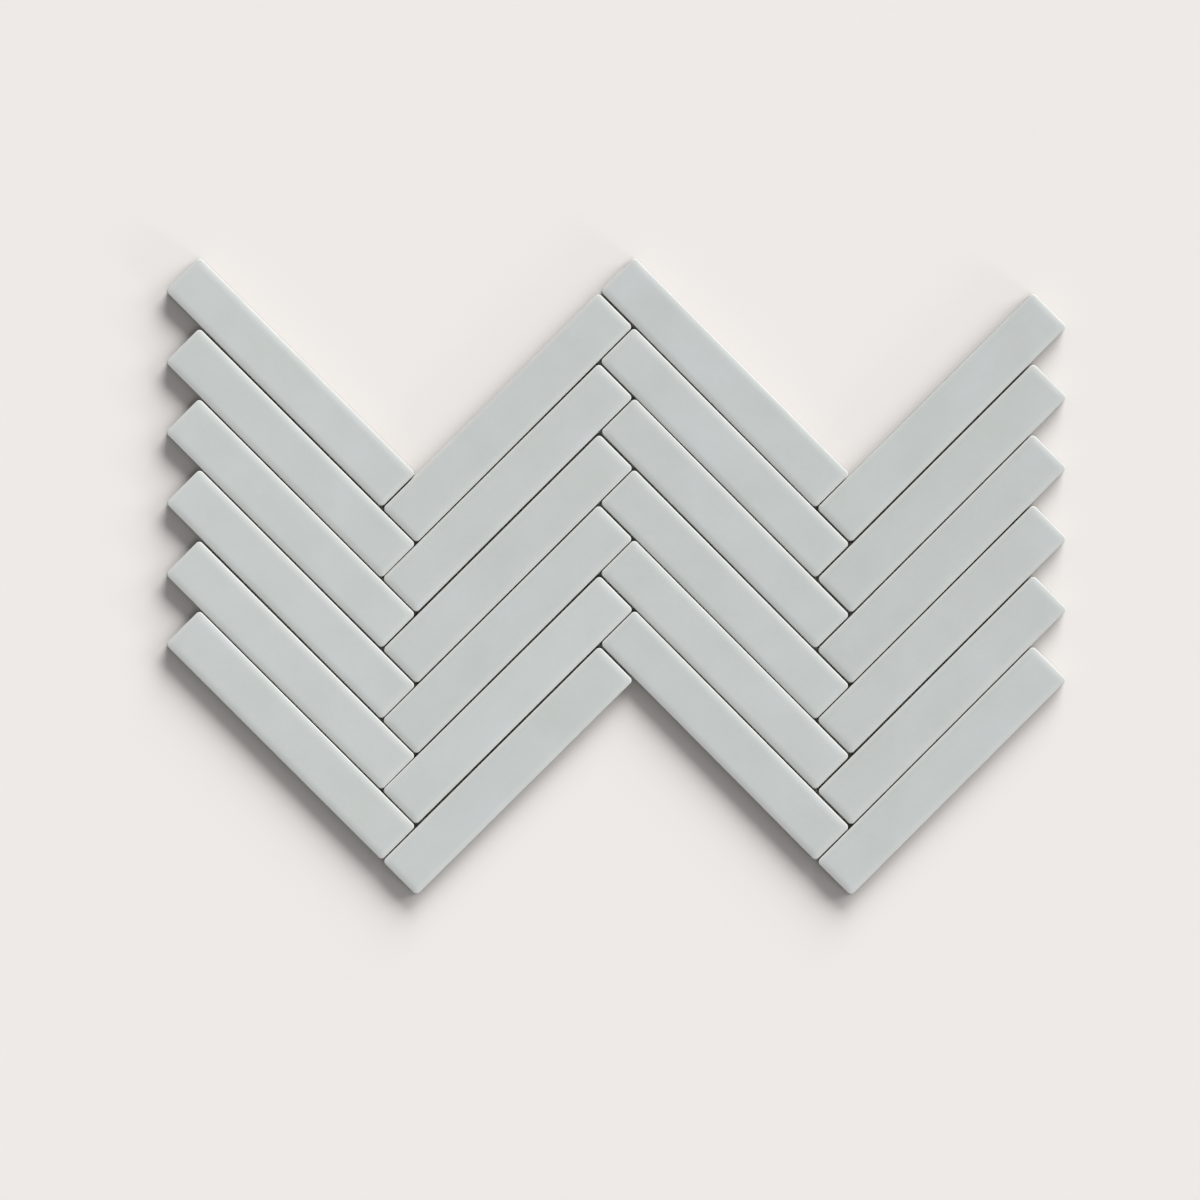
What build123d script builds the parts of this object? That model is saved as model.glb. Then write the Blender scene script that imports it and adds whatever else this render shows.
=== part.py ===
from build123d import *
import os
from math import degrees, sin, sqrt

# A sheet of herringbone mosaic: slim finger tiles with cushioned, glazed faces, laid in columns
# that fall and rise by turns and glued to one mesh carrier. Millimetres. The sheet lies flat with
# its glazed faces up (+Z), and its columns stand side by side along X.

# One finger tile
TILE_LENGTH = 145.0
TILE_WIDTH = 23.0
TILE_THICKNESS = 8.0
CORNER_RADIUS = 2.0  # of the outline, seen from above

# Its cushioned face: flat in the middle, rolling down to the edges, with a rounded arris
CUSHION_REACH = 3.7
CUSHION_DROP = 0.45
ARRIS_RADIUS = 0.5
BEVEL_CLEARANCE = 0.08  # how far the bevel round each corner's top stays outside the arrises

# Its ribbed back
GROOVES = 3
GROOVE_WIDTH = 3.0
GROOVE_DEPTH = 0.5
GROOVE_PITCH = 6.0

# The laying pattern
COLUMNS = 4
TILES_PER_COLUMN = 6
JOINT = 0.7
LAY_TURN = 45.0  # degrees between a falling tile and the sheet's X axis

# Unevenness of the laying, as shares of the joint, so that tiles never meet
COLUMN_LEAN = (0.06, -0.15, -0.36, 0.0)  # how far a tile's end swings, in the top tile of a column
COLUMN_FAN = (0.0, -0.35, 0.0, 0.0)  # how much further it has swung in the bottom tile
TILE_LEAN = 0.12
TILE_SLIP = 0.12
WANDER_PER_ROW = 2.3
WANDER_PER_COLUMN = 4.1

# The mesh carrier, drawn as a plain sheet of the same outline and thickness
CARRIER_THICKNESS = 0.4
CARRIER_MARGIN = 5.0  # how far it stops short of the tiles' cells

PITCH_ALONG = TILE_LENGTH + JOINT
PITCH_ACROSS = TILE_WIDTH + JOINT


def section(span):
    """The tile's section over one span: plain sides, rounded arrises and a cushioned face."""
    half = span / 2
    flat = half - CUSHION_REACH
    rim = TILE_THICKNESS - CUSHION_DROP
    outline = Line((-flat, TILE_THICKNESS), (flat, TILE_THICKNESS))
    outline += TangentArc((flat, TILE_THICKNESS), (half, rim), tangent=(1, 0))
    outline += Polyline((half, rim), (half, 0), (-half, 0), (-half, rim))
    outline += TangentArc((-flat, TILE_THICKNESS), (-half, rim), tangent=(-1, 0))
    face = make_face(outline)
    return fillet(face.vertices().group_by(Axis.Y)[1], ARRIS_RADIUS)


def corner_guard():
    """A block with the tile's rounded outline, bevelled on top just outside the arrises."""
    roll = (CUSHION_REACH**2 + CUSHION_DROP**2) / (2 * CUSHION_DROP)
    rise = sqrt((roll - ARRIS_RADIUS) ** 2 - (CUSHION_REACH - ARRIS_RADIUS) ** 2)
    arris_centre = TILE_THICKNESS - roll + rise
    bevel_foot = arris_centre + ARRIS_RADIUS * (sqrt(2) - 1) + BEVEL_CLEARANCE
    top = TILE_THICKNESS + BEVEL_CLEARANCE
    block = extrude(RectangleRounded(TILE_LENGTH, TILE_WIDTH, CORNER_RADIUS), amount=top)
    return chamfer(block.faces().sort_by(Axis.Z)[-1].edges(), top - bevel_foot)


def finger_tile():
    """One pressed and fired tile, centred on its axes, with its back at Z = 0."""
    tile = extrude(Plane.YZ * section(TILE_WIDTH), amount=TILE_LENGTH / 2, both=True)
    tile &= extrude(Plane.XZ * section(TILE_LENGTH), amount=TILE_WIDTH / 2, both=True)
    tile &= corner_guard()
    groove = Box(2 * TILE_LENGTH, GROOVE_WIDTH, 2 * GROOVE_DEPTH)
    for index in range(GROOVES):
        tile -= Pos(0, (index - (GROOVES - 1) / 2) * GROOVE_PITCH, 0) * groove
    return tile


def cell_place(column, row):
    """The centre and turn of a tile's cell, in the frame where a falling tile lies along X."""
    pair, rising = divmod(column, 2)
    if rising:
        x = (row + 0.5) * PITCH_ACROSS + PITCH_ALONG
        y = -(row + 1) * PITCH_ACROSS + PITCH_ALONG / 2
    else:
        x = row * PITCH_ACROSS + PITCH_ALONG / 2
        y = -(row + 0.5) * PITCH_ACROSS
    shift = pair * PITCH_ALONG
    return Rot(0, 0, -LAY_TURN) * Pos(x + shift, y + shift, 0) * Rot(0, 0, 90 * rising)


def wander(column, row, phase):
    """An uneven number from -1 to 1 that differs from tile to tile."""
    return sin(WANDER_PER_ROW * row + WANDER_PER_COLUMN * column + phase)


def hand_laid(column, row):
    """How far a tile strays from its cell: a slip along and across it, and a small lean."""
    down = row / max(TILES_PER_COLUMN - 1, 1)
    along = TILE_SLIP * JOINT * wander(column, row, 0)
    across = TILE_SLIP * JOINT * wander(column, row, 2)
    column_swing = COLUMN_LEAN[column % len(COLUMN_LEAN)] + COLUMN_FAN[column % len(COLUMN_FAN)] * down
    swing = column_swing + TILE_LEAN * wander(column, row, 4)
    lean = degrees(swing * JOINT / (TILE_LENGTH / 2))
    return Pos(along, across, 0) * Rot(0, 0, lean)


def carrier_outline(cells):
    """The outline of all the cells together, drawn in from the tiles' edges."""
    whole = Sketch() + [cell * Rectangle(PITCH_ALONG, PITCH_ACROSS) for cell in cells]
    return offset(whole, amount=-CARRIER_MARGIN, kind=Kind.INTERSECTION)


one_tile = finger_tile()
places = {(c, r): cell_place(c, r) for c in range(COLUMNS) for r in range(TILES_PER_COLUMN)}
nodes = {}
for (column, row), place in places.items():
    seat = Pos(0, 0, CARRIER_THICKNESS)
    name = f"tile_c{column + 1}_r{row + 1}"
    nodes[name] = seat * place * hand_laid(column, row) * one_tile
nodes["backing_mesh"] = extrude(carrier_outline(places.values()), amount=CARRIER_THICKNESS)

# The origin is under the middle of the sheet, on the level that it lies on
middle = Compound(list(nodes.values())).bounding_box().center()
os.makedirs("parts", exist_ok=True)
for name, solid in nodes.items():
    export_step(Pos(-middle.X, -middle.Y, 0) * solid, f"parts/{name}.step")
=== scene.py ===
"""Herringbone mosaic sheet: slim finger tiles with a cushioned satin glaze on a glass-fibre mesh.

The sheet lies on a pale floor with its glazed faces up, and the camera looks straight down on it.
Lengths are metres and angles radians, unless a name says otherwise.
"""

from __future__ import annotations

import logging
import math
from dataclasses import dataclass
from enum import Enum

import bmesh
import bpy
from mathutils import Matrix, Vector, noise


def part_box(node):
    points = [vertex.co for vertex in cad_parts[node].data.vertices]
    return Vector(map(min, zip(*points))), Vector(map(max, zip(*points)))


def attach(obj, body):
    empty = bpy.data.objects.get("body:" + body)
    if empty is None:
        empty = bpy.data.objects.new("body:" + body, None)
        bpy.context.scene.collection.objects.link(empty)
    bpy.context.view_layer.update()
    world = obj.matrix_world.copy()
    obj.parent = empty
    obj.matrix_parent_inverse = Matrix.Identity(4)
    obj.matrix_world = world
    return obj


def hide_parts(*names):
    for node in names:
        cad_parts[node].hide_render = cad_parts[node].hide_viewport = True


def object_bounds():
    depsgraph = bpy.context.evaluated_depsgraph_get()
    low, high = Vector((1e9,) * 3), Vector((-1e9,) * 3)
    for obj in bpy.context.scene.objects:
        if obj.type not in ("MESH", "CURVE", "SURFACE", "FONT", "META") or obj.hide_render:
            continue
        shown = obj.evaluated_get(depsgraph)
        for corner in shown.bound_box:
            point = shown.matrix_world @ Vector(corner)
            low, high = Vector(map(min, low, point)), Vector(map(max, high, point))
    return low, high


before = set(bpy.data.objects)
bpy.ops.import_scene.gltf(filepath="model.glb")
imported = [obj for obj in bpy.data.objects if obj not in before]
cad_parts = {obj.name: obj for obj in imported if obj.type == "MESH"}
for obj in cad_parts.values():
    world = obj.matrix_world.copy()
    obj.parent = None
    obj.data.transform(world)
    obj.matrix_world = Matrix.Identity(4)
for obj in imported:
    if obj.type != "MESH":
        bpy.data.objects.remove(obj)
CAD_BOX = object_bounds()

MM = 0.001
BODY = "root"
PHOTO_PIXELS = 1200
LOG = logging.getLogger("herringbone")

# How near a cutting plane a point counts as lying on it, and which edges are too short to keep
CUT_REACH = 0.0001 * MM
SHORTEST_EDGE = 0.01 * MM

# The turn between two faces, in radians, up to which they count as one flat face
FLAT_ANGLE = 0.01

Colour = tuple[float, float, float]


def srgb(red: float, green: float, blue: float) -> Colour:
    """Turns a colour of 0 to 255, as a screen shows it, into scene-linear values."""
    shares = (channel / 255 for channel in (red, green, blue))
    return tuple(((s + 0.055) / 1.055) ** 2.4 if s > 0.04045 else s / 12.92 for s in shares)


@dataclass(frozen=True)
class Clouds:
    """A soft noise: its waves in a metre, its finer layers and the number that picks its pattern."""

    scale: float
    detail: float
    seed: float = 0.0


@dataclass(frozen=True)
class Fade:
    """A smooth rise with a value: where it starts, where it is full and how much it is there."""

    start: float
    full: float
    most: float = 1.0


class Value:
    """A number in a shader. The usual signs of arithmetic add Math nodes to it."""

    def __init__(self, shader: Shader, socket: bpy.types.NodeSocket) -> None:
        """Keeps the shader that the number belongs to and the socket that gives it."""
        self.shader = shader
        self.socket = socket

    def _math(self, operation: str, *values: Value | float) -> Value:
        """Adds one Math node.

        Args:
            operation: The node's operation.
            values: Its inputs, in order.

        Returns:
            The node's result.
        """
        node = self.shader.node("ShaderNodeMath", {"operation": operation}, dict(enumerate(values)))
        return Value(self.shader, node.outputs[0])

    def __add__(self, other: Value | float) -> Value:
        """Adds another value."""
        return self._math("ADD", self, other)

    __radd__ = __add__

    def __sub__(self, other: Value | float) -> Value:
        """Takes another value away."""
        return self._math("SUBTRACT", self, other)

    def __rsub__(self, other: float) -> Value:
        """Takes this value away from a number."""
        return self._math("SUBTRACT", other, self)

    def __mul__(self, other: Value | float) -> Value:
        """Multiplies by another value."""
        return self._math("MULTIPLY", self, other)

    def __abs__(self) -> Value:
        """The value without its sign."""
        return self._math("ABSOLUTE", self)

    def lowest(self, other: Value | float) -> Value:
        """The lower of this value and another."""
        return self._math("MINIMUM", self, other)

    def highest(self, other: Value | float) -> Value:
        """The higher of this value and another."""
        return self._math("MAXIMUM", self, other)

    def root(self) -> Value:
        """The square root."""
        return self._math("SQRT", self)

    def ramp(self, low: float, high: float) -> Value:
        """Rises smoothly from 0 to 1, or falls where the start is the higher.

        Args:
            low: Where the result is 0.
            high: Where it is 1.

        Returns:
            The smoothed result.
        """
        up = high > low
        settings = {"interpolation_type": "SMOOTHSTEP", "clamp": True}
        sockets = {
            "Value": self,
            "From Min": low if up else high,
            "From Max": high if up else low,
            "To Min": 0.0 if up else 1.0,
            "To Max": 1.0 if up else 0.0,
        }
        node = self.shader.node("ShaderNodeMapRange", settings, sockets)
        return Value(self.shader, node.outputs["Result"])

    def fade(self, fade: Fade) -> Value:
        """How much of a fade there is at this value."""
        return self.ramp(fade.start, fade.full) * fade.most


# What an input of a node can be given
Fed = Value | float | Colour | bpy.types.NodeSocket


class Shader:
    """A material's nodes. One method adds any node, and the rest are short names for it."""

    def __init__(self, name: str) -> None:
        """Makes an empty material.

        Args:
            name: The material's name.
        """
        self.material = bpy.data.materials.new(name)
        self.material.use_nodes = True
        self.tree = self.material.node_tree
        self.tree.nodes.clear()

    def _feed(self, socket: bpy.types.NodeSocket, value: Fed) -> None:
        """Links an input to what feeds it, or sets it.

        Args:
            socket: The input.
            value: A value or an output to link, or a number or a colour to set.
        """
        if isinstance(value, Value):
            value = value.socket
        if isinstance(value, bpy.types.NodeSocket):
            self.tree.links.new(value, socket)
        elif isinstance(value, tuple):
            socket.default_value = (*value, 1.0)
        else:
            socket.default_value = value

    def node(
        self,
        kind: str,
        settings: dict[str, object] | None = None,
        sockets: dict[str | int, Fed] | None = None,
    ) -> bpy.types.Node:
        """Adds a node.

        Args:
            kind: The node's type.
            settings: Its properties, which are set first.
            sockets: What its inputs get, by name or number.

        Returns:
            The new node.
        """
        new = self.tree.nodes.new(kind)
        for key, value in (settings or {}).items():
            setattr(new, key, value)
        for key, value in (sockets or {}).items():
            self._feed(new.inputs[key], value)
        return new

    def place(self) -> bpy.types.NodeSocket:
        """The point's place on the object, in metres."""
        return self.node("ShaderNodeTexCoord").outputs["Object"]

    def parts(self, vector: bpy.types.NodeSocket) -> tuple[Value, Value, Value]:
        """The three numbers of a vector."""
        split = self.node("ShaderNodeSeparateXYZ", None, {0: vector})
        return tuple(Value(self, socket) for socket in split.outputs)

    def attribute(self, name: str) -> Value:
        """A number that the mesh carries at its points."""
        return Value(self, self.node("ShaderNodeAttribute", {"attribute_name": name}).outputs["Fac"])

    def clouds(self, place: bpy.types.NodeSocket, kind: Clouds, shift: Value | float = 0.0) -> Value:
        """Adds soft noise about 0.5.

        Args:
            place: The place to read it at.
            kind: Which noise it is.
            shift: A number that gives each tile another pattern of the same kind.

        Returns:
            The noise.
        """
        sockets = {"Vector": place, "Scale": kind.scale, "Detail": kind.detail, "W": shift + kind.seed}
        node = self.node("ShaderNodeTexNoise", {"noise_dimensions": "4D"}, sockets)
        return Value(self, node.outputs[0])

    def mix(self, share: Value | float, first: Fed, second: Fed) -> bpy.types.NodeSocket:
        """Mixes two colours.

        Args:
            share: How much of the second there is, from 0 to 1.
            first: A colour or a socket that gives one.
            second: Another.

        Returns:
            The mixed colour.
        """
        node = self.node("ShaderNodeMix", {"data_type": "RGBA"}, {0: share, 6: first, 7: second})
        return node.outputs[2]

    def lit(self, colour: bpy.types.NodeSocket, light: Value) -> bpy.types.NodeSocket:
        """A colour made lighter or darker by one factor."""
        grey = self.node("ShaderNodeCombineXYZ", None, {0: light, 1: light, 2: light}).outputs[0]
        return self.node("ShaderNodeVectorMath", {"operation": "MULTIPLY"}, {0: colour, 1: grey}).outputs[0]

    def bump(self, height: Value, distance: float) -> bpy.types.NodeSocket:
        """A normal that shows a relief of the given height in metres."""
        node = self.node("ShaderNodeBump", None, {"Height": height, "Distance": distance})
        return node.outputs["Normal"]

    def finish(self, **sockets: Fed) -> bpy.types.Material:
        """Adds the surface shader and the output.

        Args:
            sockets: The surface shader's inputs, with low lines for the spaces in their names.

        Returns:
            The material.
        """
        named = {key.replace("_", " "): value for key, value in sockets.items()}
        surface = self.node("ShaderNodeBsdfPrincipled", None, named)
        self.node("ShaderNodeOutputMaterial", None, {"Surface": surface.outputs[0]})
        return self.material


@dataclass(frozen=True)
class TileSizes:
    """The pressed tile's own sizes. Its frame has X along it and Z = 0 at its back."""

    length: float = 145.0 * MM
    width: float = 23.0 * MM
    thickness: float = 8.0 * MM
    corner_radius: float = 2.0 * MM
    cushion_reach: float = 3.7 * MM
    cushion_drop: float = 0.45 * MM
    arris_radius: float = 0.5 * MM
    grooves: int = 3
    groove_width: float = 3.0 * MM
    groove_depth: float = 0.5 * MM
    groove_pitch: float = 6.0 * MM

    @property
    def roll_radius(self) -> float:
        """The radius of the face where it rolls down to the arris."""
        return (self.cushion_reach**2 + self.cushion_drop**2) / (2 * self.cushion_drop)

    @property
    def arris_height(self) -> float:
        """Works out the height of the arris's centre, where the side starts to turn in.

        Returns:
            The height above the tile's back.
        """
        away = self.cushion_reach - self.arris_radius
        rise = math.sqrt((self.roll_radius - self.arris_radius) ** 2 - away**2)
        return self.thickness - self.roll_radius + rise

    def edge_curve(self, arris_steps: int, roll_steps: int) -> list[tuple[float, float]]:
        """The section from the top of the side to the flat of the face.

        Args:
            arris_steps: How many steps the arris takes.
            roll_steps: How many steps the roll of the face takes.

        Returns:
            How far in from the edge each point is, and its height.
        """
        join = math.asin((self.cushion_reach - self.arris_radius) / (self.roll_radius - self.arris_radius))
        curve = []
        for step in range(1, arris_steps + 1):
            turn = (math.pi / 2 - join) * step / arris_steps
            inset = self.arris_radius * (1 - math.cos(turn))
            curve.append((inset, self.arris_height + self.arris_radius * math.sin(turn)))
        for step in range(1, roll_steps + 1):
            turn = join * (1 - step / roll_steps)
            inset = self.cushion_reach - self.roll_radius * math.sin(turn)
            curve.append((inset, self.thickness - self.roll_radius * (1 - math.cos(turn))))
        return curve


@dataclass(frozen=True)
class GlazeFinish:
    """A pale sage-grey satin glaze, creamy where it is thinner on the arrises and with a painted highlight
    along them, over a grey-brown body.
    """

    sizes: TileSizes
    grey: Colour = srgb(196, 200, 199)
    green: Colour = srgb(194, 199, 195)
    cool: Colour = srgb(195, 200, 202)
    # The cream of glaze where it is thinner, made whiter so that it is also a painted highlight along the
    # arrises
    thin_glaze_and_glint: Colour = srgb(230, 227, 219)
    body: Colour = srgb(118, 112, 103)
    stained: Colour = srgb(104, 98, 89)
    dusty: Colour = srgb(136, 130, 121)

    # The noises. Each tile's tone and tint shift the first two to a pattern of its own
    cloud: Clouds = Clouds(48.0, 3.0)
    drift: Clouds = Clouds(26.0, 2.0, 3.0)
    fleck: Clouds = Clouds(650.0, 1.0)
    peel: Clouds = Clouds(260.0, 1.0, 5.0)
    wear: Clouds = Clouds(190.0, 2.0, 11.0)
    edge: Clouds = Clouds(120.0, 3.0, 2.0)
    grain: Clouds = Clouds(2600.0, 3.0, 1.0)
    stain: Clouds = Clouds(70.0, 3.0, 4.0)
    cloud_shift: float = 9.0
    drift_shift: float = 7.0

    # How strong each colour gets as its noise rises
    greener: Fade = Fade(0.36, 0.70, 0.5)
    cooler: Fade = Fade(0.40, 0.75, 0.35)
    more_stained: Fade = Fade(0.40, 0.70, 0.6)
    dustier: Fade = Fade(0.52, 0.70, 0.5)

    # How much lighter or darker the glaze gets with the tile's tone, the clouds and the flecks
    tone_spread: float = 0.022
    cloud_spread: float = 0.15
    fleck_spread: float = 0.05

    # The paler roll, and the narrow pale line along the arris, which is more worn in places. The line is
    # partly glaze worn thinner and partly a painted highlight on the arrises, also where they lie in shade
    roll: Fade = Fade(2.6 * MM, 0.4 * MM, 0.18)
    line: Fade = Fade(0.62 * MM, 0.30 * MM)
    line_least: float = 0.12
    line_worn: Fade = Fade(0.35, 0.65, 0.36)

    # How far down the sides the glaze runs, as a level above the floor, and how it ends there
    glazed_to: float = 6.9 * MM
    end_waver: float = 1.1 * MM
    end_blur: float = 0.1 * MM

    # How rough the glaze and the bare body are
    satin: float = 0.32
    peel_spread: float = 0.06
    rim: Fade = Fade(1.0 * MM, 0.3 * MM, 0.38)
    bare: float = 0.82

    # The fine relief: its depth, and how much of it the glaze has
    relief_depth: float = 0.05 * MM
    peel_relief: float = 0.15
    refraction: float = 1.52

    def edge_distance(self, shader: Shader) -> Value:
        """Measures how far a point is inside the tile's outline, seen from above.

        Args:
            shader: The shader that measures it.

        Returns:
            The distance in metres.
        """
        sizes = self.sizes
        uv = shader.node("ShaderNodeUVMap", {"uv_map": "face"}).outputs["UV"]
        across, up, _ = shader.parts(uv)
        straight = []
        for share, half in ((across, sizes.length / 2), (up, sizes.width / 2)):
            straight.append(abs((share - 0.5) * sizes.length) - (half - sizes.corner_radius))
        far_x, far_y = (side.highest(0.0) for side in straight)
        corner = (far_x * far_x + far_y * far_y).root()
        inside = straight[0].highest(straight[1]).lowest(0.0)
        return sizes.corner_radius - corner - inside

    def _glaze_colour(
        self, shader: Shader, place: bpy.types.NodeSocket, inset: Value
    ) -> bpy.types.NodeSocket:
        """Lets the glaze drift between three greys and go pale along the edges, partly as thinner glaze and
        partly as a painted highlight on the arrises.

        Args:
            shader: The shader that it belongs to.
            place: The point's place on the object.
            inset: How far the point is inside the tile's outline.

        Returns:
            The glaze's colour.
        """
        tone, tint = shader.attribute("tone"), shader.attribute("tint")
        cloud = shader.clouds(place, self.cloud, tone * self.cloud_shift)
        drift = shader.clouds(place, self.drift, tint * self.drift_shift)
        fleck = shader.clouds(place, self.fleck)
        wear = shader.clouds(place, self.wear)
        colour = shader.mix(drift.fade(self.greener), self.grey, self.green)
        colour = shader.mix(cloud.fade(self.cooler), colour, self.cool)
        light = 1.0 + tone * self.tone_spread
        light = light + (cloud - 0.5) * self.cloud_spread + (fleck - 0.5) * self.fleck_spread
        # The line along the arris: partly glaze worn thinner, partly a painted highlight
        line = inset.fade(self.line) * (self.line_least + wear.fade(self.line_worn))
        return shader.mix(inset.fade(self.roll).highest(line), shader.lit(colour, light), self.thin_glaze_and_glint)

    def _body_colour(
        self, shader: Shader, place: bpy.types.NodeSocket, grain: Value
    ) -> bpy.types.NodeSocket:
        """Stains the bare body and dusts it with its grain.

        Args:
            shader: The shader that it belongs to.
            place: The point's place on the object.
            grain: The body's grain.

        Returns:
            The body's colour.
        """
        stain = shader.clouds(place, self.stain)
        colour = shader.mix(stain.fade(self.more_stained), self.body, self.stained)
        return shader.mix(grain.fade(self.dustier), colour, self.dusty)

    def _glazed(self, shader: Shader, place: bpy.types.NodeSocket) -> Value:
        """Finds where the glaze lies, which ends in a wavering edge on the sides.

        Args:
            shader: The shader that it belongs to.
            place: The point's place on the object.

        Returns:
            1 on the glaze and 0 on the bare body.
        """
        waver = (shader.clouds(place, self.edge) - 0.5) * self.end_waver
        height = shader.parts(place)[2]
        return (height + waver).ramp(self.glazed_to - self.end_blur, self.glazed_to + self.end_blur)

    def make(self) -> bpy.types.Material:
        """Builds the material that all the tiles share.

        Returns:
            The material.
        """
        shader = Shader("satin_glaze")
        place = shader.place()
        inset = self.edge_distance(shader)
        peel = shader.clouds(place, self.peel)
        grain = shader.clouds(place, self.grain)
        glazed = self._glazed(shader, place)
        body_colour = self._body_colour(shader, place, grain)
        colour = shader.mix(glazed, body_colour, self._glaze_colour(shader, place, inset))
        satin = self.satin + (peel - 0.5) * self.peel_spread + inset.fade(self.rim)
        roughness = self.bare + glazed * (satin - self.bare)
        relief = peel * glazed * self.peel_relief + (1.0 - glazed) * grain
        normal = shader.bump(relief, self.relief_depth)
        return shader.finish(Base_Color=colour, Roughness=roughness, Normal=normal, IOR=self.refraction)


@dataclass(frozen=True)
class ThreadFinish:
    """Off-white glass yarn, stiff with resin, with fine filaments along it."""

    yarn: Colour = srgb(208, 206, 194)
    shade: Colour = srgb(172, 170, 156)
    resin: Colour = srgb(198, 192, 168)
    filaments: Clouds = Clouds(5200.0, 2.0)
    coat: Clouds = Clouds(90.0, 3.0, 2.0)
    shaded: Fade = Fade(0.35, 0.7, 0.6)
    coated: Fade = Fade(0.5, 0.8, 0.4)
    dry: float = 0.62
    glossier: Fade = Fade(0.45, 0.75, 0.22)
    relief_depth: float = 0.04 * MM

    def make(self) -> bpy.types.Material:
        """Builds the material of the mesh's yarns.

        Returns:
            The material.
        """
        shader = Shader("resin_coated_yarn")
        place = shader.place()
        filament = shader.clouds(place, self.filaments)
        coat = shader.clouds(place, self.coat)
        colour = shader.mix(filament.fade(self.shaded), self.yarn, self.shade)
        colour = shader.mix(coat.fade(self.coated), colour, self.resin)
        roughness = self.dry - coat.fade(self.glossier)
        normal = shader.bump(filament, self.relief_depth)
        return shader.finish(Base_Color=colour, Roughness=roughness, Normal=normal)


@dataclass(frozen=True)
class FloorFinish:
    """A plain pale floor without gloss, which throws less light back on the tiles than it shows."""

    seen: Colour = srgb(238, 234, 231)
    thrown_back: Colour = srgb(150, 148, 146)
    roughness: float = 0.95

    def make(self) -> bpy.types.Material:
        """Builds the floor's material.

        Returns:
            The material.
        """
        shader = Shader("pale_floor")
        path = shader.node("ShaderNodeLightPath")
        rays = ("Is Camera Ray", "Is Glossy Ray", "Is Transmission Ray")
        camera, glossy, through = (Value(shader, path.outputs[name]) for name in rays)
        colour = shader.mix(camera.highest(glossy).highest(through), self.thrown_back, self.seen)
        return shader.finish(Base_Color=colour, Roughness=self.roughness, Specular_IOR_Level=0.0)


def add_object(name: str, data: bpy.types.ID) -> bpy.types.Object:
    """Adds an object at the origin.

    Args:
        name: Its name.
        data: Its mesh, lamp or camera.

    Returns:
        The object.
    """
    added = bpy.data.objects.new(name, data)
    bpy.context.scene.collection.objects.link(added)
    return added


def add_piece(name: str, mesh: bmesh.types.BMesh, finish: bpy.types.Material) -> bpy.types.Object:
    """Adds an object with a mesh of one finish.

    Args:
        name: Its name.
        mesh: The mesh as built, which is used up.
        finish: The material of all its faces.

    Returns:
        The object.
    """
    data = bpy.data.meshes.new(name)
    mesh.to_mesh(data)
    mesh.free()
    data.materials.append(finish)
    return add_object(name, data)


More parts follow.
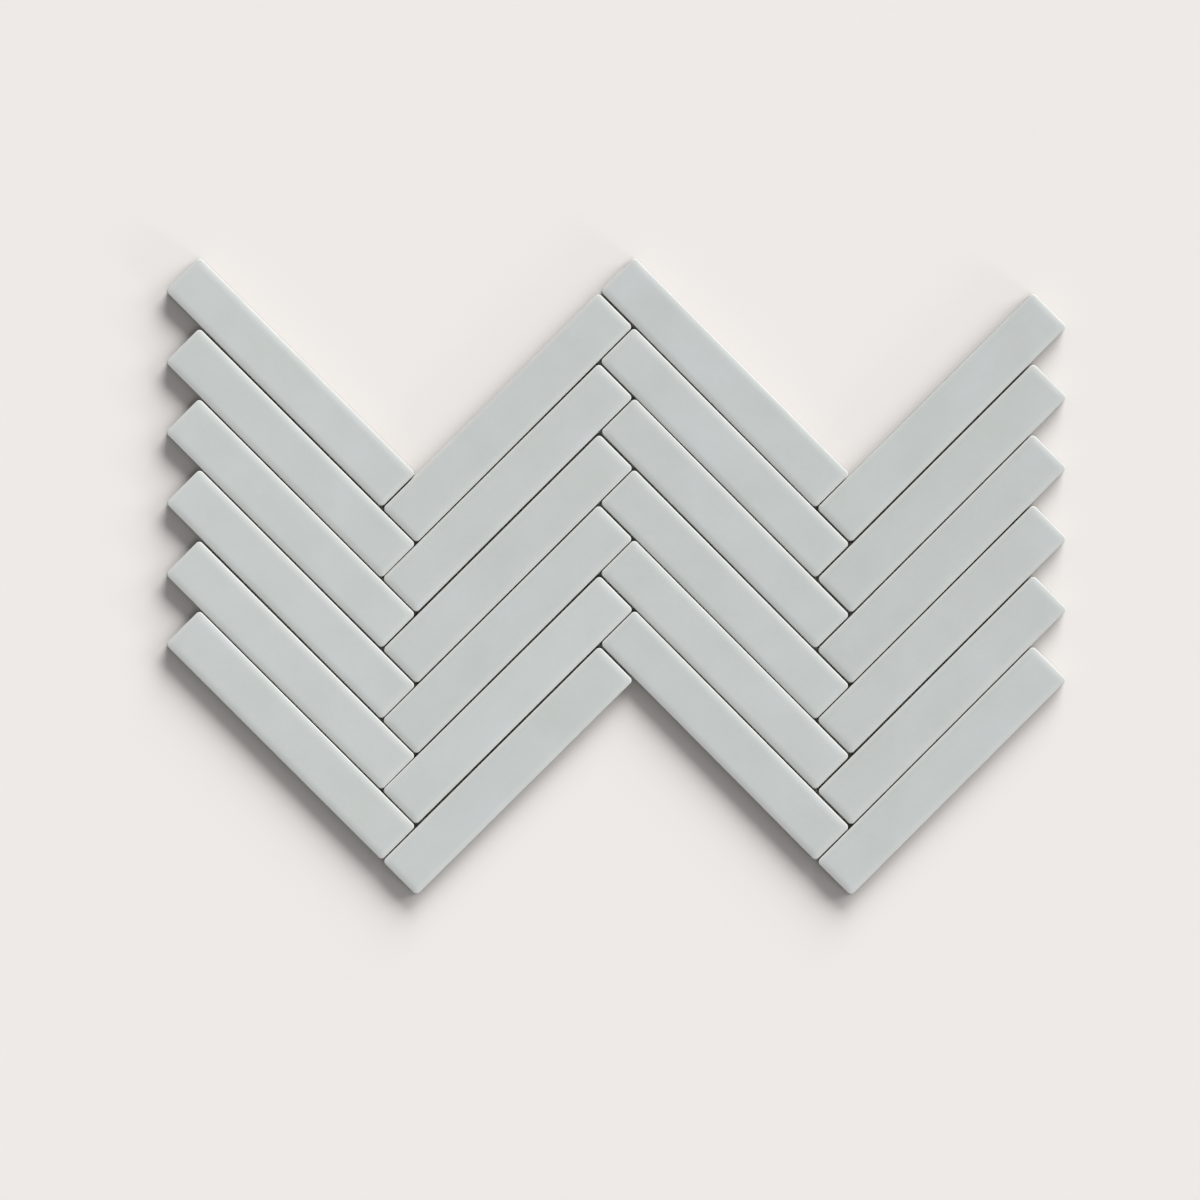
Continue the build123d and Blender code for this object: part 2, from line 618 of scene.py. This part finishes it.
@dataclass
class GlazedTile:
    """One finger tile: a ribbed bar with rounded corners, an arris and a cushioned face."""

    node: str
    sizes: TileSizes
    corner_steps: int = 8
    arris_steps: int = 7
    roll_steps: int = 6
    crisp_degrees: float = 35.0

    # Where it is cut so that it can bend: every so far across, and at shares of the width along
    slice_length: float = 5.0 * MM
    long_cuts: tuple[float, ...] = (-0.3, 0.0, 0.3)

    # How low the glaze lies in places and how far the edges waver, with their waves in a metre
    relief: float = 0.07 * MM
    relief_waves: tuple[float, float] = (38.0, 55.0)
    waver: float = 0.035 * MM
    waver_waves: float = 26.0
    side_pattern: float = 5.3

    # The tile's own tone and tint: where the noise is read for them, and how far they spread
    tone_pattern: tuple[float, float] = (1.67, 4.1)
    tint_pattern: tuple[float, float] = (2.3, 8.7)
    own_spread: float = 2.0
    # Tiles left of the middle column are made paler and those right of it darker, by this much per column
    paler_by_column: float = 0.7
    middle_column: float = 2.5
    seed_by_column: float = 10.0
    seed_by_row: float = 1.7

    @property
    def column(self) -> int:
        """Which column the tile is in, from the left."""
        return int(self.node.split("_")[1][1:])

    @property
    def seed(self) -> float:
        """A number of the tile's own, from its column and its row."""
        row = int(self.node.split("_")[2][1:])
        return self.seed_by_column * self.column + self.seed_by_row * row

    def place(self) -> Matrix:
        """Finds where the tile lies, from the middle, the sides and the foot of its solid's box.

        Returns:
            The tile's place and turn.
        """
        low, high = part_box(self.node)
        wide, deep = high[0] - low[0], high[1] - low[1]
        # The box of a turned bar is wider than deep by (length - width) * (cos(turn) - sin(turn))
        span = math.sqrt(2) * (self.sizes.length - self.sizes.width)
        turn = math.acos((wide - deep) / span) - math.pi / 4
        if self.column % 2:
            turn = -turn
        middle = Vector(((low[0] + high[0]) / 2, (low[1] + high[1]) / 2, low[2]))
        return Matrix.Translation(middle) @ Matrix.Rotation(turn, 4, "Z")

    def _cut(self, mesh: bmesh.types.BMesh, point: Vector, normal: Vector) -> None:
        """Cuts every face along a plane."""
        geometry = [*mesh.verts, *mesh.edges, *mesh.faces]
        bmesh.ops.bisect_plane(mesh, geom=geometry, dist=CUT_REACH, plane_co=point, plane_no=normal)

    def _ribbed_bar(self, mesh: bmesh.types.BMesh) -> None:
        """Cuts the tile's section below the arris, with its grooves, and draws it out.

        Args:
            mesh: The empty mesh to build in.
        """
        sizes = self.sizes
        upright = Matrix.Translation((-sizes.length / 2, 0, sizes.arris_height / 2))
        upright @= Matrix.Rotation(math.pi / 2, 4, "Y")
        upright @= Matrix.Diagonal((sizes.arris_height, sizes.width, 1, 1))
        bmesh.ops.create_grid(mesh, x_segments=1, y_segments=1, size=0.5, matrix=upright)
        centres = [(i - (sizes.grooves - 1) / 2) * sizes.groove_pitch for i in range(sizes.grooves)]
        for centre in centres:
            for side in (-0.5, 0.5):
                self._cut(mesh, Vector((0, centre + side * sizes.groove_width, 0)), Vector((0, 1, 0)))
        self._cut(mesh, Vector((0, 0, sizes.groove_depth)), Vector((0, 0, 1)))
        hollow = []
        for face in mesh.faces:
            at = face.calc_center_median()
            near = min(abs(at.y - centre) for centre in centres)
            if at.z < sizes.groove_depth and near < sizes.groove_width / 2:
                hollow.append(face)
        bmesh.ops.delete(mesh, geom=hollow, context="FACES")
        bmesh.ops.dissolve_limit(mesh, angle_limit=FLAT_ANGLE, verts=mesh.verts[:], edges=mesh.edges[:])
        drawn = bmesh.ops.extrude_face_region(mesh, geom=mesh.faces[:], use_keep_orig=True)["geom"]
        moved = [item for item in drawn if isinstance(item, bmesh.types.BMVert)]
        bmesh.ops.translate(mesh, vec=(sizes.length, 0, 0), verts=moved)

    def _round_corners(self, mesh: bmesh.types.BMesh) -> None:
        """Rounds the four upright corners of the bar.

        Args:
            mesh: The bar.
        """
        sizes = self.sizes
        edges = []
        for edge in mesh.edges:
            along = {round(abs(vert.co.x) - sizes.length / 2, 6) for vert in edge.verts}
            across = {round(abs(vert.co.y) - sizes.width / 2, 6) for vert in edge.verts}
            tall = abs(edge.verts[0].co.z - edge.verts[1].co.z) > sizes.groove_depth
            if along == across == {0.0} and tall:
                edges.append(edge)
        bmesh.ops.bevel(
            mesh,
            geom=edges,
            offset=sizes.corner_radius,
            offset_type="OFFSET",
            segments=self.corner_steps,
            profile=0.5,
            affect="EDGES",
            material=-1,
        )

    def _cushion(self, mesh: bmesh.types.BMesh) -> None:
        """Steps the top face in and up along the edge's curve.

        Args:
            mesh: The bar with its corners rounded.
        """
        sizes = self.sizes
        top = max(mesh.faces, key=lambda face: face.calc_center_median().z)
        was_inset, was_height = 0.0, sizes.arris_height
        for inset, height in sizes.edge_curve(self.arris_steps, self.roll_steps):
            bmesh.ops.inset_individual(mesh, faces=[top], thickness=0.0, depth=0.0)
            halves = (sizes.length / 2, sizes.width / 2)
            shrink = [(half - inset) / (half - was_inset) for half in halves]
            bmesh.ops.scale(mesh, vec=(*shrink, 1.0), verts=top.verts[:])
            bmesh.ops.translate(mesh, vec=(0, 0, height - was_height), verts=top.verts[:])
            was_inset, was_height = inset, height

    def _slice(self, mesh: bmesh.types.BMesh) -> None:
        """Cuts the tile across and along, so that its faces can carry a soft relief.

        Args:
            mesh: The whole tile.
        """
        count = round(self.sizes.length / self.slice_length)
        for index in range(1, count):
            x = -self.sizes.length / 2 + index * self.slice_length
            self._cut(mesh, Vector((x, 0, 0)), Vector((1, 0, 0)))
        for share in self.long_cuts:
            self._cut(mesh, Vector((0, share * self.sizes.width, 0)), Vector((0, 1, 0)))
        bmesh.ops.dissolve_degenerate(mesh, dist=SHORTEST_EDGE, edges=mesh.edges[:])

    def _unevenness(self, mesh: bmesh.types.BMesh) -> None:
        """Lets the glaze lie a little low here and there and the edges waver inwards.

        Args:
            mesh: The whole tile, cut fine enough to bend.
        """
        sizes = self.sizes
        along, across = self.relief_waves
        for vert in mesh.verts:
            x, y = vert.co.x, vert.co.y
            if vert.co.z > sizes.arris_height:
                share = min(1.0, (vert.co.z - sizes.arris_height) / sizes.arris_radius)
                wave = noise.noise(Vector((x * along, y * across, self.seed)))
                vert.co.z -= self.relief * share * (1 - wave) / 2
            side = 1 if y > 0 else -1
            near = min(1.0, abs(y) / (sizes.width / 2))
            wave = noise.noise(Vector((x * self.waver_waves, side * self.side_pattern, self.seed)))
            vert.co.y -= side * self.waver * near**3 * (1 - wave) / 2

    def _shade(self, mesh: bmesh.types.BMesh) -> None:
        """Smooths the glazed curves and keeps the back's edges crisp.

        Args:
            mesh: The whole tile.
        """
        for face in mesh.faces:
            face.smooth = True
        for edge in mesh.edges:
            if edge.calc_face_angle(0.0) > math.radians(self.crisp_degrees):
                edge.smooth = False

    def _mark(self, mesh: bmesh.types.BMesh) -> None:
        """Writes the face's own coordinates and the tile's tone and tint on the mesh.

        Args:
            mesh: The whole tile, before it is bent or placed.
        """
        sizes = self.sizes
        uv = mesh.loops.layers.uv.new("face")
        tone = mesh.verts.layers.float.new("tone")
        tint = mesh.verts.layers.float.new("tint")
        before, after = self.tint_pattern
        tone_by_tile_and_column = self.own_spread * noise.noise(Vector((self.seed, *self.tone_pattern)))
        # Paler towards the left of the sheet, darker towards the right
        tone_by_tile_and_column += self.paler_by_column * (self.middle_column - self.column)
        own_tint = self.own_spread * noise.noise(Vector((before, self.seed, after)))
        for vert in mesh.verts:
            vert[tone] = tone_by_tile_and_column
            vert[tint] = own_tint
        for face in mesh.faces:
            for loop in face.loops:
                at = loop.vert.co
                loop[uv].uv = (at.x / sizes.length + 0.5, at.y / sizes.length + 0.5)

    def build(self, glaze: bpy.types.Material) -> bpy.types.Object:
        """Makes the tile where its solid lies.

        Args:
            glaze: The material of the whole tile.

        Returns:
            The tile.
        """
        mesh = bmesh.new()
        self._ribbed_bar(mesh)
        self._round_corners(mesh)
        self._cushion(mesh)
        self._slice(mesh)
        self._mark(mesh)
        self._unevenness(mesh)
        bmesh.ops.recalc_face_normals(mesh, faces=mesh.faces[:])
        self._shade(mesh)
        bmesh.ops.transform(mesh, matrix=self.place(), verts=mesh.verts[:])
        piece = add_piece(f"glazed_{self.node}", mesh, glaze)
        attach(piece, BODY)
        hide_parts(self.node)
        return piece


@dataclass
class CarrierMesh:
    """The open glass-fibre mesh under the tiles: flat weft yarns between twisted pairs of warp."""

    node: str = "backing_mesh"
    pitch: float = 4.5 * MM
    weft_width: float = 1.5 * MM
    warp_width: float = 0.7 * MM
    yarn_height: float = 0.15 * MM
    warp_sway: float = 0.42 * MM
    crossing: float = 0.11 * MM

    # How finely the outline is felt for, and from what height
    feels_per_pitch: int = 8
    feel_height: float = 1.0

    # The sheet laid flat: its length and width in metres, and its area in square metres
    flat: tuple[float, float] = (0.4147, 0.2900)
    sheet_area: float = 0.07454

    def _inside(self, x: float, y: float) -> bool:
        """Feels for the sheet's solid under a point.

        Args:
            x: The point's place along X.
            y: Its place along Y.

        Returns:
            Whether the solid is there.
        """
        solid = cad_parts[self.node]
        start = solid.matrix_world.inverted() @ Vector((x, y, self.feel_height))
        return solid.ray_cast(start, Vector((0, 0, -1)))[0]

    def _runs(self, fixed: float, low: float, high: float, along_x: bool) -> list[tuple[float, float]]:
        """The stretches of one straight line that lie on the sheet.

        Args:
            fixed: The line's place across.
            low: Where the line starts.
            high: Where it ends.
            along_x: Whether it runs along X.

        Returns:
            Where each stretch starts and ends.
        """
        step = self.pitch / self.feels_per_pitch
        runs: list[tuple[float, float]] = []
        start = None
        at = low
        while at <= high:
            on = self._inside(at, fixed) if along_x else self._inside(fixed, at)
            if on and start is None:
                start = at
            if not on and start is not None:
                runs.append((start, at - step))
                start = None
            at += step
        if start is not None:
            runs.append((start, high))
        return [run for run in runs if run[1] - run[0] > self.pitch]

    def _yarn(self, points: list[tuple[float, float, float]], width: float) -> bmesh.types.BMesh:
        """Draws one flat yarn.

        Args:
            points: The middle of the yarn, point by point, along X or along Y.
            width: How wide it is.

        Returns:
            The yarn.
        """
        mesh = bmesh.new()
        first, last = Vector(points[0]), Vector(points[-1])
        along = (last - first).normalized()
        across = Vector((0, 0, 1)).cross(along)
        turn = Matrix((across, Vector((0, 0, 1)), along)).transposed().to_4x4()
        section = Matrix.Translation(first) @ turn @ Matrix.Diagonal((width, self.yarn_height, 1, 1))
        bmesh.ops.create_grid(mesh, x_segments=1, y_segments=1, size=0.5, matrix=section)
        face = next(iter(mesh.faces))
        for before, after in zip(points, points[1:]):
            end = [face, *face.edges, *face.verts]
            grown = bmesh.ops.extrude_face_region(mesh, geom=end)
            verts = [item for item in grown["geom"] if isinstance(item, bmesh.types.BMVert)]
            face = next(item for item in grown["geom"] if isinstance(item, bmesh.types.BMFace))
            bmesh.ops.translate(mesh, vec=Vector(after) - Vector(before), verts=verts)
        bmesh.ops.recalc_face_normals(mesh, faces=mesh.faces[:])
        return mesh

    def _lines(self, low: float, high: float) -> list[float]:
        """Spaces lines evenly, with the same margin at both ends.

        Args:
            low: The lower limit.
            high: The upper limit.

        Returns:
            Where each line is.
        """
        count = int((high - low) / self.pitch)
        first = (low + high - count * self.pitch) / 2
        return [first + index * self.pitch for index in range(count + 1)]

    def build(self, yarn: bpy.types.Material) -> bpy.types.Object:
        """Weaves the mesh inside the outline of its solid.

        Args:
            yarn: The material of the yarns.

        Returns:
            The mesh.
        """
        low, high = (Vector(corner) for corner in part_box(self.node))
        level = (low.z + high.z) / 2
        woven = bmesh.new()
        wefts = self._lines(low.y, high.y)
        warps = self._lines(low.x, high.x)
        for y in wefts:
            for start, end in self._runs(y, low.x, high.x, True):
                self._add(woven, self._yarn([(start, y, level), (end, y, level)], self.weft_width))
        for x in warps:
            for start, end in self._runs(x, low.y, high.y, False):
                crossed = [y for y in wefts if start < y < end]
                for side in (-1, 1):
                    points = [(x + side * self.warp_sway, start, level)]
                    for index, y in enumerate(crossed):
                        over = side if index % 2 else -side
                        points.append((x + over * self.warp_sway, y, level + over * self.crossing))
                    points.append((points[-1][0], end, level))
                    self._add(woven, self._yarn(points, self.warp_width))
        piece = add_piece("carrier_mesh", woven, yarn)
        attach(piece, BODY)
        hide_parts(self.node)
        return piece

    def _add(self, woven: bmesh.types.BMesh, yarn: bmesh.types.BMesh) -> None:
        """Adds one yarn to the woven mesh.

        Args:
            woven: The mesh so far.
            yarn: The yarn, which is used up.
        """
        passing = bpy.data.meshes.new("yarn")
        yarn.to_mesh(passing)
        yarn.free()
        woven.from_mesh(passing)
        bpy.data.meshes.remove(passing)


class Side(Enum):
    """Where a lamp's light comes from, as degrees round from +X and up from the floor."""

    KEY = (66.0, 27.0)
    SECOND = (25.0, 28.0)
    RIM = (-35.0, 14.0)
    OVERHEAD = (-48.0, 75.0)


@dataclass(frozen=True)
class SoftLamp:
    """A broad, distant lamp: how it stands, how wide it looks and how much it gives the floor."""

    side: Side
    width_degrees: float
    share: float

    def build(self) -> bpy.types.Object:
        """Adds the lamp. Its share of the light is what a level surface gets from it.

        Returns:
            The lamp.
        """
        turn, rise = (math.radians(angle) for angle in self.side.value)
        data = bpy.data.lights.new(f"lamp_{self.side.name.lower()}", "SUN")
        data.angle = math.radians(self.width_degrees)
        data.energy = math.pi * self.share / math.sin(rise)
        lamp = add_object(data.name, data)
        towards = Vector((math.cos(turn) * math.cos(rise), math.sin(turn) * math.cos(rise), math.sin(rise)))
        lamp.rotation_euler = towards.to_track_quat("Z", "Y").to_euler()
        return lamp


@dataclass(frozen=True)
class Studio:
    """The floor, the lamps, the light all round and the camera."""

    floor_size: float = 8.0
    all_round: float = 0.205
    millimetres_per_pixel: float = 0.4743
    sheet_middle_pixel: tuple[float, float] = (616.2, 576.6)
    camera_distance: float = 4.0
    camera_reach: float = 100.0
    sensor: float = 36.0

    def floor(self, finish: FloorFinish) -> bpy.types.Object:
        """Lays the floor at the level that the sheet rests on.

        Args:
            finish: The floor's finish.

        Returns:
            The floor.
        """
        mesh = bmesh.new()
        bmesh.ops.create_grid(mesh, x_segments=1, y_segments=1, size=self.floor_size / 2)
        floor = add_piece("floor", mesh, finish.make())
        return floor

    def light(self) -> None:
        """Sets the soft key light, three weaker lamps and an even light all round."""
        SoftLamp(Side.KEY, width_degrees=40.0, share=0.52).build()
        SoftLamp(Side.SECOND, width_degrees=30.0, share=0.16).build()
        SoftLamp(Side.RIM, width_degrees=16.0, share=0.04).build()
        SoftLamp(Side.OVERHEAD, width_degrees=20.0, share=0.075).build()
        world = bpy.data.worlds.new("even_light")
        world.use_nodes = True
        background = world.node_tree.nodes["Background"]
        background.inputs["Color"].default_value = (1.0, 1.0, 1.0, 1.0)
        background.inputs["Strength"].default_value = self.all_round
        bpy.context.scene.world = world

    def camera(self) -> bpy.types.Object:
        """Looks straight down, so that the faces have the photograph's scale and place.

        Returns:
            The camera.
        """
        scale = self.millimetres_per_pixel * MM
        low, high = (Vector(corner) for corner in CAD_BOX)
        off_x, off_y = (PHOTO_PIXELS / 2 - pixel for pixel in self.sheet_middle_pixel)
        data = bpy.data.cameras.new("camera")
        data.sensor_width = self.sensor
        data.lens = self.sensor * self.camera_distance / (PHOTO_PIXELS * scale)
        data.clip_end = self.camera_reach
        camera = add_object("camera", data)
        middle = (low + high) / 2
        camera.location = (
            middle.x + off_x * scale,
            middle.y - off_y * scale,
            high.z + self.camera_distance,
        )
        bpy.context.scene.camera = camera
        return camera


def triangles(piece: bpy.types.Object) -> int:
    """How many triangles a piece's mesh has."""
    piece.data.calc_loop_triangles()
    return len(piece.data.loop_triangles)


def main() -> None:
    """Builds the sheet piece by piece, then the floor, the light and the camera."""
    logging.basicConfig(level=logging.INFO, format="%(message)s")
    bpy.context.scene.view_settings.view_transform = "Standard"
    sizes = TileSizes()
    glaze = GlazeFinish(sizes).make()
    names = sorted(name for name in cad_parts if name.startswith("tile_"))
    for name in names:
        tile = GlazedTile(name, sizes).build(glaze)
        LOG.info("%s: %d triangles", tile.name, triangles(tile))
    carrier = CarrierMesh()
    mesh = carrier.build(ThreadFinish().make())
    LOG.info("%s: %d triangles", mesh.name, triangles(mesh))
    studio = Studio()
    studio.floor(FloorFinish())
    studio.light()
    studio.camera()


if __name__ == "__main__":
    main()
